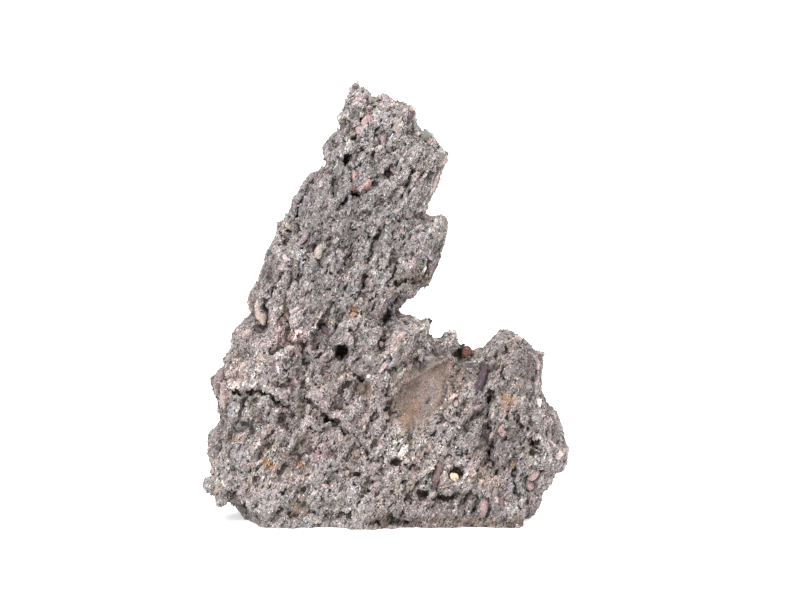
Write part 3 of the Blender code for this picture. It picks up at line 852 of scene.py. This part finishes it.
def saw_base(skin):
    """Cuts the skin flat at the ground and closes the cut."""
    shape = bmesh.new()
    shape.from_mesh(skin.data)
    everything = shape.verts[:] + shape.edges[:] + shape.faces[:]
    cut = bmesh.ops.bisect_plane(
        shape, geom=everything, dist=1e-6, plane_co=(0, 0, 0), plane_no=(0, 0, -1), clear_outer=True
    )
    rim = [part for part in cut["geom_cut"] if isinstance(part, bmesh.types.BMEdge)]
    filled = bmesh.ops.edgeloop_fill(shape, edges=rim)
    bmesh.ops.triangulate(shape, faces=filled["faces"])
    shape.to_mesh(skin.data)
    shape.free()


def thin_out(skin, triangles):
    thinned = skin.modifiers.new("fewer faces", "DECIMATE")
    skin.data.calc_loop_triangles()
    thinned.ratio = triangles / len(skin.data.loop_triangles)
    thinned.use_collapse_triangulate = True
    apply_modifiers(skin)


def build_skin():
    outline = outline_points()
    skin = slab(outline)
    round_off(skin, outline)
    weather(skin, outline)
    roughen(skin, outline)
    put_places(skin, places_of(skin) - TO_ORIGIN)
    saw_base(skin)
    thin_out(skin, SKIN_TRIANGLES)
    return skin


def hollowness(obj, rounds):
    """How far each place lies below the mean of what is around it, in mm."""
    mesh = obj.data
    ends = np.empty(len(mesh.edges) * 2, np.int32)
    mesh.edges.foreach_get("vertices", ends)
    a, b = ends.reshape(-1, 2).T
    places = places_of(obj)
    count = len(places)
    shares = np.bincount(a, minlength=count) + np.bincount(b, minlength=count)
    mean = places.copy()
    for _ in range(rounds):
        total = np.zeros_like(mean)
        for axis in range(3):
            total[:, axis] = np.bincount(a, mean[b, axis], count) + np.bincount(b, mean[a, axis], count)
        mean = total / np.maximum(shares, 1)[:, None]
    return ((mean - places) * normals_of(obj)).sum(axis=1) / MM


def ground_at(places, normals):
    """The stone's colour at each place, before its grains: blotches all over, the stains of
    the front with painted shade and painted light among them, and painted top light."""
    colour = np.tile(np.array(MAUVE), (len(places), 1))
    for tint, size, seed, level, most in BLOTCHES.values():
        share = most * smoothstep((swell(along_beds(places, 1.5), size, seed) - level) / 0.35)
        colour += share[:, None] * (np.array(tint) - colour)
    for size, seed, stretch, strength in PATCHES:
        cell, _ = nearest_block(along_beds(places + TO_ORIGIN, stretch), size, seed)
        luck = chance(cell, seed + 5)
        hues = np.array(PATCH_TINTS)[(luck[:, 0] * len(PATCH_TINTS)).astype(int)]
        colour += (2 * strength * luck[:, 1])[:, None] * (hues - colour)
    shown = smoothstep((0.25 - normals[:, 1]) / 0.3) * (places[:, 1] < 0)
    uneven = 1.0 + 0.3 * swell(places, 7, 91)
    for *oval, tint, strength in STAINS.values():
        reach = uneven * reach_in_photo(places, *oval)
        share = strength * shown * smoothstep((1.35 - reach) / 0.6)
        colour += share[:, None] * (np.array(tint) - colour)
    streaks = 1.0 + 0.2 * swell(along_beds(places, 3.2), 8, 241)
    # Upward faces are painted lighter and downward faces darker, as painted top light and underside
    # shade, times the streaks along the beds
    top_light_and_streaks = (1.0 + 0.16 * normals[:, 2]) * streaks
    return ALBEDO * colour * top_light_and_streaks[:, None]


def depth_shade(hollow):
    """How dark and brown hollows are painted, as painted shade, and how much lighter ridges are painted,
    as painted light.
    """
    shade = np.clip(1.0 - 0.36 * np.clip(hollow, -0.5, 2.3), 0.12, 1.2)
    return shade[:, None] ** np.array([1.0, 1.1, 1.18])


def write_attribute(obj, name, values):
    """Keeps a number or a colour at each of the object's places, for its material."""
    if values.ndim == 1:
        layer = obj.data.attributes.new(name, "FLOAT", "POINT")
        layer.data.foreach_set("value", values.astype(np.float32))
    else:
        layer = obj.data.attributes.new(name, "FLOAT_COLOR", "POINT")
        opaque = np.column_stack([values, np.ones(len(values))])
        layer.data.foreach_set("color", opaque.astype(np.float32).ravel())


class Scatter:
    """Seats on the skin, evenly over its area, for what is set into it."""

    def __init__(self, skin, count, seed):
        self.random = np.random.default_rng(seed)
        mesh = skin.data
        mesh.calc_loop_triangles()
        corners = np.empty(len(mesh.loop_triangles) * 3, np.int32)
        mesh.loop_triangles.foreach_get("vertices", corners)
        corners = corners.reshape(-1, 3)
        places, normals = places_of(skin), normals_of(skin)
        a, b, c = places[corners].transpose(1, 0, 2)
        faces = np.cross(b - a, c - a)
        area = np.linalg.norm(faces, axis=1)
        area[places[corners, 2].min(axis=1) < BARE_FOOT * MM] = 0.0
        picked = self.random.choice(len(area), count, p=area / area.sum())
        shares = self.random.dirichlet((1.0, 1.0, 1.0), count)
        self.seats = np.einsum("nk,nkc->nc", shares, places[corners[picked]])
        outwards = np.einsum("nk,nkc->nc", shares, normals[corners[picked]])
        outwards += faces[picked] / area[picked, None]
        self.outwards = outwards / np.linalg.norm(outwards, axis=1, keepdims=True)
        hollow = np.empty(len(places), np.float32)
        mesh.attributes["hollow"].data.foreach_get("value", hollow)
        self.hollow = np.einsum("nk,nk->n", shares, hollow[corners[picked]])

    def keep(self, chosen):
        self.seats = self.seats[chosen]
        self.outwards = self.outwards[chosen]
        self.hollow = self.hollow[chosen]

    def frames(self, stray, tilt):
        """Three axes for each seat: along the beds, across them, and outwards."""
        count = len(self.seats)
        out = self.outwards + self.random.normal(0.0, tilt, (count, 3))
        out /= np.linalg.norm(out, axis=1, keepdims=True)
        along = np.array([math.cos(BEDDING), 0.0, math.sin(BEDDING)])
        along = along + self.random.normal(0.0, stray, (count, 3))
        along -= (along * out).sum(axis=1, keepdims=True) * out
        along /= np.linalg.norm(along, axis=1, keepdims=True)
        return np.stack([along, np.cross(out, along), out], axis=1)


def template(kind):
    """The corners and triangles of a small block, crystal or ball, one unit in radius."""
    shape = bmesh.new()
    if kind == "block":
        bmesh.ops.create_cube(shape, size=1.5)
    elif kind == "crystal":
        bmesh.ops.create_uvsphere(shape, u_segments=4, v_segments=2, radius=1.0)
    else:
        bmesh.ops.create_icosphere(shape, subdivisions=3 if kind == "fine ball" else 2, radius=1.0)
    bmesh.ops.triangulate(shape, faces=shape.faces[:])
    points = np.array([vertex.co for vertex in shape.verts])
    triangles = np.array([[vertex.index for vertex in face.verts] for face in shape.faces])
    shape.free()
    return points, triangles


def joined(name, bodies, triangles, tints):
    """One object of many bodies of the same make, each with its own colour."""
    count, corners = bodies.shape[:2]
    faces = triangles[None] + corners * np.arange(count)[:, None, None]
    mesh = bpy.data.meshes.new(name)
    mesh.from_pydata(bodies.reshape(-1, 3), [], faces.reshape(-1, 3))
    obj = added(name, mesh)
    write_attribute(obj, "ground", np.repeat(tints, corners, axis=0))
    return obj


def grain_tints(scatter, look):
    """A colour for each seat: the ground's, lighter or darker, leaning to some hue, with painted shade in
    hollows.
    """
    random = scatter.random
    count = len(scatter.seats)
    ground = ground_at(scatter.seats, scatter.outwards)
    tone = look.brightness * np.exp(random.normal(0.0, look.contrast, count))
    hues = np.array(GRAIN_HUES)[random.integers(0, len(GRAIN_HUES), count)]
    tints = ground * (1.0 - look.hued + look.hued * hues)
    tints = tints * tone[:, None] * depth_shade(scatter.hollow)
    tints += look.faded * (tints.mean(axis=1, keepdims=True) * [1.01, 1.0, 0.98] - tints)
    return np.clip(tints, 0.01, 0.85)


def grains(skin, name, look):
    """Sets angular grains of one size into the skin, off its pebbles and open creases."""
    scatter = Scatter(skin, look.count, look.seed)
    random = scatter.random
    seats = scatter.seats
    wanted = random.random(look.count) > look.calm * calm_at(seats + TO_ORIGIN)
    wanted &= (seats[:, 1] >= 0) | (reach_to_pebbles(seats, 0.0) >= PEBBLE_EDGE)
    scatter.keep(wanted & (creases(seats) < CREASE_BARE))
    count = len(scatter.seats)
    points, triangles = template(look.shape)
    spans = np.exp(random.normal(0.0, look.spread, (count, 1)))
    spans = np.clip(spans, 0.5, 1.9) * np.array(look.sizes) * MM
    jitter = look.jitter * random.uniform(-1.0, 1.0, (count, len(points), 3))
    bodies = (points[None] + jitter) * spans[:, None, :]
    bodies[:, :, 2] -= look.sunk * spans[:, None, 2]
    frames = scatter.frames(look.stray, look.tilt)
    bodies = scatter.seats[:, None] + np.einsum("nvk,nkc->nvc", bodies, frames)
    bodies[:, :, 2] = np.maximum(bodies[:, :, 2], OFF_GROUND * MM)
    return joined(name, bodies, triangles, grain_tints(scatter, look))


def pebble_body(points, half_sizes, frame, middle, seed):
    """A broken clast: a ball cut by flat sides, with worn corners."""
    sides = np.stack([np.arange(FACETS), np.full(FACETS, seed), np.full(FACETS, 3)], axis=1)
    ways = 2.0 * chance(sides, 103) - 1.0
    ways /= np.linalg.norm(ways, axis=1, keepdims=True)
    heights = 0.62 + 0.36 * chance(sides, 104)[:, 0]
    reach = np.maximum((points @ ways.T / heights).max(axis=1), 1.0)
    lumpy = 1.0 + 0.09 * ripple(points * 1.6 + seed * 3.7, 101)
    body = points * np.array(half_sizes) * (1.08 * lumpy / reach)[:, None] * MM
    body = middle + body @ frame
    body[:, 2] = np.maximum(body[:, 2], OFF_GROUND * MM)
    return body


def front_pebbles(skin):
    """The pebbles that the photo shows, each set where its pixel meets the skin."""
    tree = BVHTree.FromObject(skin, bpy.context.evaluated_depsgraph_get())
    ahead, up = camera_axes()
    eye = np.array(VIEW_MIDDLE) - CAMERA_DISTANCE * ahead
    points, triangles = template("fine ball")
    bodies, tints = [], []
    for order, (across, down, half_width, half_length, turn, proud, tint) in enumerate(PEBBLES.values()):
        found = []
        for step_x, step_y in product((-0.6, 0.0, 0.6), repeat=2):
            x = (across + step_x * half_width - PHOTO_WIDTH / 2) / PHOTO_WIDTH * VIEW_WIDTH
            y = (PHOTO_HEIGHT / 2 - down - step_y * half_length) / PHOTO_WIDTH * VIEW_WIDTH
            ray = CAMERA_DISTANCE * ahead + up * y + np.array([x, 0.0, 0.0])
            place, normal, _, _ = tree.ray_cast(Vector(eye), Vector(ray).normalized())
            if place is not None:
                found.append((np.array(place), np.array(normal)))
        if not found:
            continue
        middle = np.median([place for place, _ in found], axis=0)
        out = np.mean([normal for _, normal in found], axis=0) - 0.5 * ahead
        out /= np.linalg.norm(out)
        lean = math.radians(turn)
        along = np.array([-math.sin(lean), 0.0, math.cos(lean)])
        along -= (along @ out) * out
        along /= np.linalg.norm(along)
        frame = np.stack([np.cross(along, out), along, out])
        thick = 0.75 * min(half_width, half_length)
        middle = middle + out * (proud + 0.5 - thick) * MM
        bodies.append(pebble_body(points, (half_width, half_length, thick), frame, middle, order))
        tints.append(tint)
    return joined("rock-pebbles", np.array(bodies), triangles, ALBEDO * np.array(tints))


def stray_pebbles(skin):
    """Smaller pebbles on all sides of the stone."""
    scatter = Scatter(skin, STRAY_PEBBLES, 501)
    random = scatter.random
    points, triangles = template("ball")
    frames = scatter.frames(0.5, 0.15)
    bodies, tints = [], []
    for order, (seat, frame) in enumerate(zip(scatter.seats, frames)):
        across = random.uniform(1.5, 3.7)
        along = across * random.uniform(1.0, 2.4)
        thick = 0.7 * across
        middle = seat + frame[2] * (random.uniform(0.2, 1.0) - thick) * MM
        bodies.append(pebble_body(points, (along, across, thick), frame, middle, order))
        tints.append(STRAY_TINTS[random.integers(0, len(STRAY_TINTS))])
    # The pebbles get painted shade in hollows too, at a lower strength
    tints = ALBEDO * np.array(tints) * depth_shade(0.6 * scatter.hollow)
    return joined("rock-small-pebbles", np.array(bodies), triangles, tints)


class Shader:
    """A material's nodes, added and joined by name."""

    def __init__(self, name):
        self.material = bpy.data.materials.new(name)
        self.material.use_nodes = True
        self.tree = self.material.node_tree
        self.surface = self.tree.nodes["Principled BSDF"]

    def fill(self, node, inputs):
        """Gives each of these inputs a value or another node's output."""
        for name, value in inputs.items():
            if isinstance(value, bpy.types.NodeSocket):
                self.tree.links.new(value, node.inputs[name])
            else:
                node.inputs[name].default_value = value

    def add(self, kind, inputs, **settings):
        node = self.tree.nodes.new("ShaderNode" + kind)
        for name, value in settings.items():
            setattr(node, name, value)
        self.fill(node, inputs)
        return node

    def noise(self, places, scale, detail):
        inputs = {"Vector": places, "Scale": scale, "Detail": detail}
        return self.add("TexNoise", inputs).outputs

    def attribute(self, name):
        return self.add("Attribute", {}, attribute_name=name).outputs

    def ramp(self, share, stops, interpolation="LINEAR"):
        """A colour ramp with (place, grey or colour) stops."""
        node = self.add("ValToRGB", {"Fac": share})
        ramp = node.color_ramp
        ramp.interpolation = interpolation
        ramp.elements.remove(ramp.elements[1])
        for index, (place, tone) in enumerate(stops):
            stop = ramp.elements[0] if index == 0 else ramp.elements.new(place)
            stop.position = place
            stop.color = (*tone, 1.0) if isinstance(tone, tuple) else (tone, tone, tone, 1.0)
        return node.outputs["Color"]

    def multiplied(self, share, first, second):
        """The first colour times the second, as far as the share says."""
        inputs = {0: share, 6: first, 7: second}
        return self.add("Mix", inputs, data_type="RGBA", blend_type="MULTIPLY").outputs[2]

    def math(self, kind, first, second):
        return self.add("Math", {0: first, 1: second}, operation=kind).outputs[0]

    def bump(self, height, strength, distance):
        inputs = {"Height": height, "Strength": strength, "Distance": distance}
        return self.add("Bump", inputs).outputs["Normal"]

    def beds(self, stretch):
        """The object's own coordinates, turned to the beds and shortened along them."""
        places = self.add("TexCoord", {}).outputs["Object"]
        inputs = {"Vector": places, "Rotation": (0.0, -BEDDING, 0.0), "Scale": (stretch, 1.0, 1.0)}
        return self.add("Mapping", inputs, vector_type="TEXTURE").outputs["Vector"]


def stone(name, contrast):
    """Close-set mineral grains, flecks and pores, over the ground's own colour."""
    shader = Shader(name)
    beds = shader.beds(1.6)
    wander = shader.noise(beds, 420.0, 2.0)["Color"]
    drift = shader.add("VectorMath", {0: wander, "Scale": 0.0016}, operation="SCALE").outputs[0]
    moved = shader.add("VectorMath", {0: beds, 1: drift}, operation="ADD").outputs[0]
    cells = {"Vector": moved, "Scale": 1 / (GRAIN * MM)}
    grain = shader.add("TexVoronoi", cells).outputs["Color"]
    edges = shader.add("TexVoronoi", cells, feature="DISTANCE_TO_EDGE").outputs["Distance"]
    chance_of = shader.add("SeparateColor", {"Color": grain}).outputs
    clast = shader.add("TexVoronoi", {"Vector": moved, "Scale": 1 / (CLAST * MM)}).outputs["Color"]
    hue_of = shader.add("SeparateColor", {"Color": clast}).outputs["Green"]
    fleck = shader.noise(beds, 1000.0, 3.0)["Fac"]
    pore = shader.noise(beds, 820.0, 1.0)["Fac"]
    crowd = shader.noise(beds, 150.0, 1.0)["Fac"]
    crowded = shader.math("ADD", shader.math("MULTIPLY", crowd, 0.5), pore)
    calm = shader.attribute("calm")["Fac"]
    strength = shader.math("SUBTRACT", contrast, shader.math("MULTIPLY", calm, 0.5 * contrast))
    layers = [
        (strength, shader.ramp(chance_of["Red"], GRAIN_TONES)),
        (0.5 * contrast, shader.ramp(hue_of, GRAIN_HUE_STOPS, "CONSTANT")),
        (strength, shader.ramp(edges, [(0.0, 0.5), (0.12, 1.0)])),
        (strength, shader.ramp(fleck, [(0.32, 0.45), (0.5, 1.0), (0.68, 1.75)])),
        (strength, shader.ramp(crowded, [(0.605, (0.05, 0.036, 0.03)), (0.655, 1.0)])),
    ]
    colour = shader.attribute("ground")["Color"]
    for share, layer in layers:
        colour = shader.multiplied(share, colour, layer)
    gloss = [(0.0, 0.95), (0.8, 0.85), (0.93, 0.5), (1.0, 0.35)]
    looks = {
        "Base Color": colour,
        "Roughness": shader.ramp(chance_of["Blue"], gloss),
        "Specular IOR Level": 0.35,
        "Normal": shader.bump(shader.math("ADD", edges, fleck), 0.6, 0.0006),
    }
    shader.fill(shader.surface, looks)
    return shader.material


def bright_mineral():
    """The crystals: each one's own colour, finely flecked, with more gloss than the stone."""
    shader = Shader("bright-mineral")
    fleck = shader.noise(shader.beds(2.2), 1 / (1.2 * MM), 4.0)["Fac"]
    flecks = shader.ramp(fleck, [(0.28, 0.75), (0.5, 1.0), (0.72, 1.25)])
    looks = {
        "Base Color": shader.multiplied(1.0, shader.attribute("ground")["Color"], flecks),
        "Roughness": shader.ramp(fleck, [(0.3, 0.62), (0.7, 0.38)]),
        "Specular IOR Level": 0.5,
        "Normal": shader.bump(fleck, 0.5, 0.0004),
    }
    shader.fill(shader.surface, looks)
    return shader.material


def paper_floor():
    """A white paper floor that glows a little."""
    shader = Shader("white-floor")
    looks = {
        "Base Color": (0.97, 0.97, 0.97, 1.0),
        "Roughness": 0.9,
        "Emission Color": PLAIN_WHITE,
        "Emission Strength": FLOOR_GLOW,
    }
    shader.fill(shader.surface, looks)
    bpy.ops.mesh.primitive_plane_add(size=FLOOR_SIZE)
    floor = bpy.context.object
    floor.name = "floor"
    floor.data.materials.append(shader.material)


def softbox(name, place, size, power):
    """A square lamp that looks at the stone's middle."""
    light = bpy.data.lights.new(name, "AREA")
    light.size = size
    light.energy = power
    lamp = added(name, light)
    lamp.location = place
    lamp.rotation_euler = (Vector(VIEW_MIDDLE) - Vector(place)).to_track_quat("-Z", "Y").to_euler()


def light_up():
    world = bpy.data.worlds.new("studio")
    bpy.context.scene.world = world
    world.use_nodes = True
    sky = world.node_tree.nodes["Background"]
    sky.inputs["Color"].default_value = PLAIN_WHITE
    sky.inputs["Strength"].default_value = SKY_STRENGTH
    for name, (place, size, power) in SOFTBOXES.items():
        softbox(name, place, size, power)
    bpy.context.scene.view_settings.view_transform = "Standard"


def place_camera():
    ahead, _ = camera_axes()
    data = bpy.data.cameras.new("camera")
    data.sensor_width = SENSOR_WIDTH
    data.lens = SENSOR_WIDTH * CAMERA_DISTANCE / VIEW_WIDTH
    camera = added("camera", data)
    camera.location = Vector(VIEW_MIDDLE) - CAMERA_DISTANCE * Vector(ahead)
    camera.rotation_euler = (math.radians(90) - CAMERA_RISE, 0.0, 0.0)
    bpy.context.scene.camera = camera


def dress(piece, material):
    """Gives a piece its material, and lets it move with the stone."""
    piece.data.materials.clear()
    piece.data.materials.append(material)
    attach(piece, "root")


def main():
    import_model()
    place_camera()
    light_up()
    paper_floor()
    skin = build_skin()
    skin.name = "rock-skin"
    places, normals = places_of(skin), normals_of(skin)
    hollow = hollowness(skin, 5) + 0.5 * hollowness(skin, 30)
    hollow *= 1.0 - 0.9 * calm_at(places + TO_ORIGIN)
    write_attribute(skin, "hollow", hollow)
    # The ground colour carries painted shade in hollows and painted light on ridges
    ground = ground_at(places, normals) * depth_shade(hollow)
    write_attribute(skin, "ground", np.clip(ground, 0.004, 0.8))
    write_attribute(skin, "calm", calm_at(places + TO_ORIGIN))
    rough = stone("rough-stone", 1.0)
    dress(skin, rough)
    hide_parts("rock")
    worn = stone("worn-pebble", 0.6)
    flaky = stone("flaky-stone", 0.5)
    coats = {
        "rock-slabs": flaky,
        "rock-shards": flaky,
        "rock-grains": worn,
        "rock-grit": rough,
        "rock-crystals": bright_mineral(),
    }
    for name, look in GRAINS.items():
        dress(grains(skin, name, look), coats[name])
    dress(front_pebbles(skin), worn)
    dress(stray_pebbles(skin), worn)


main()
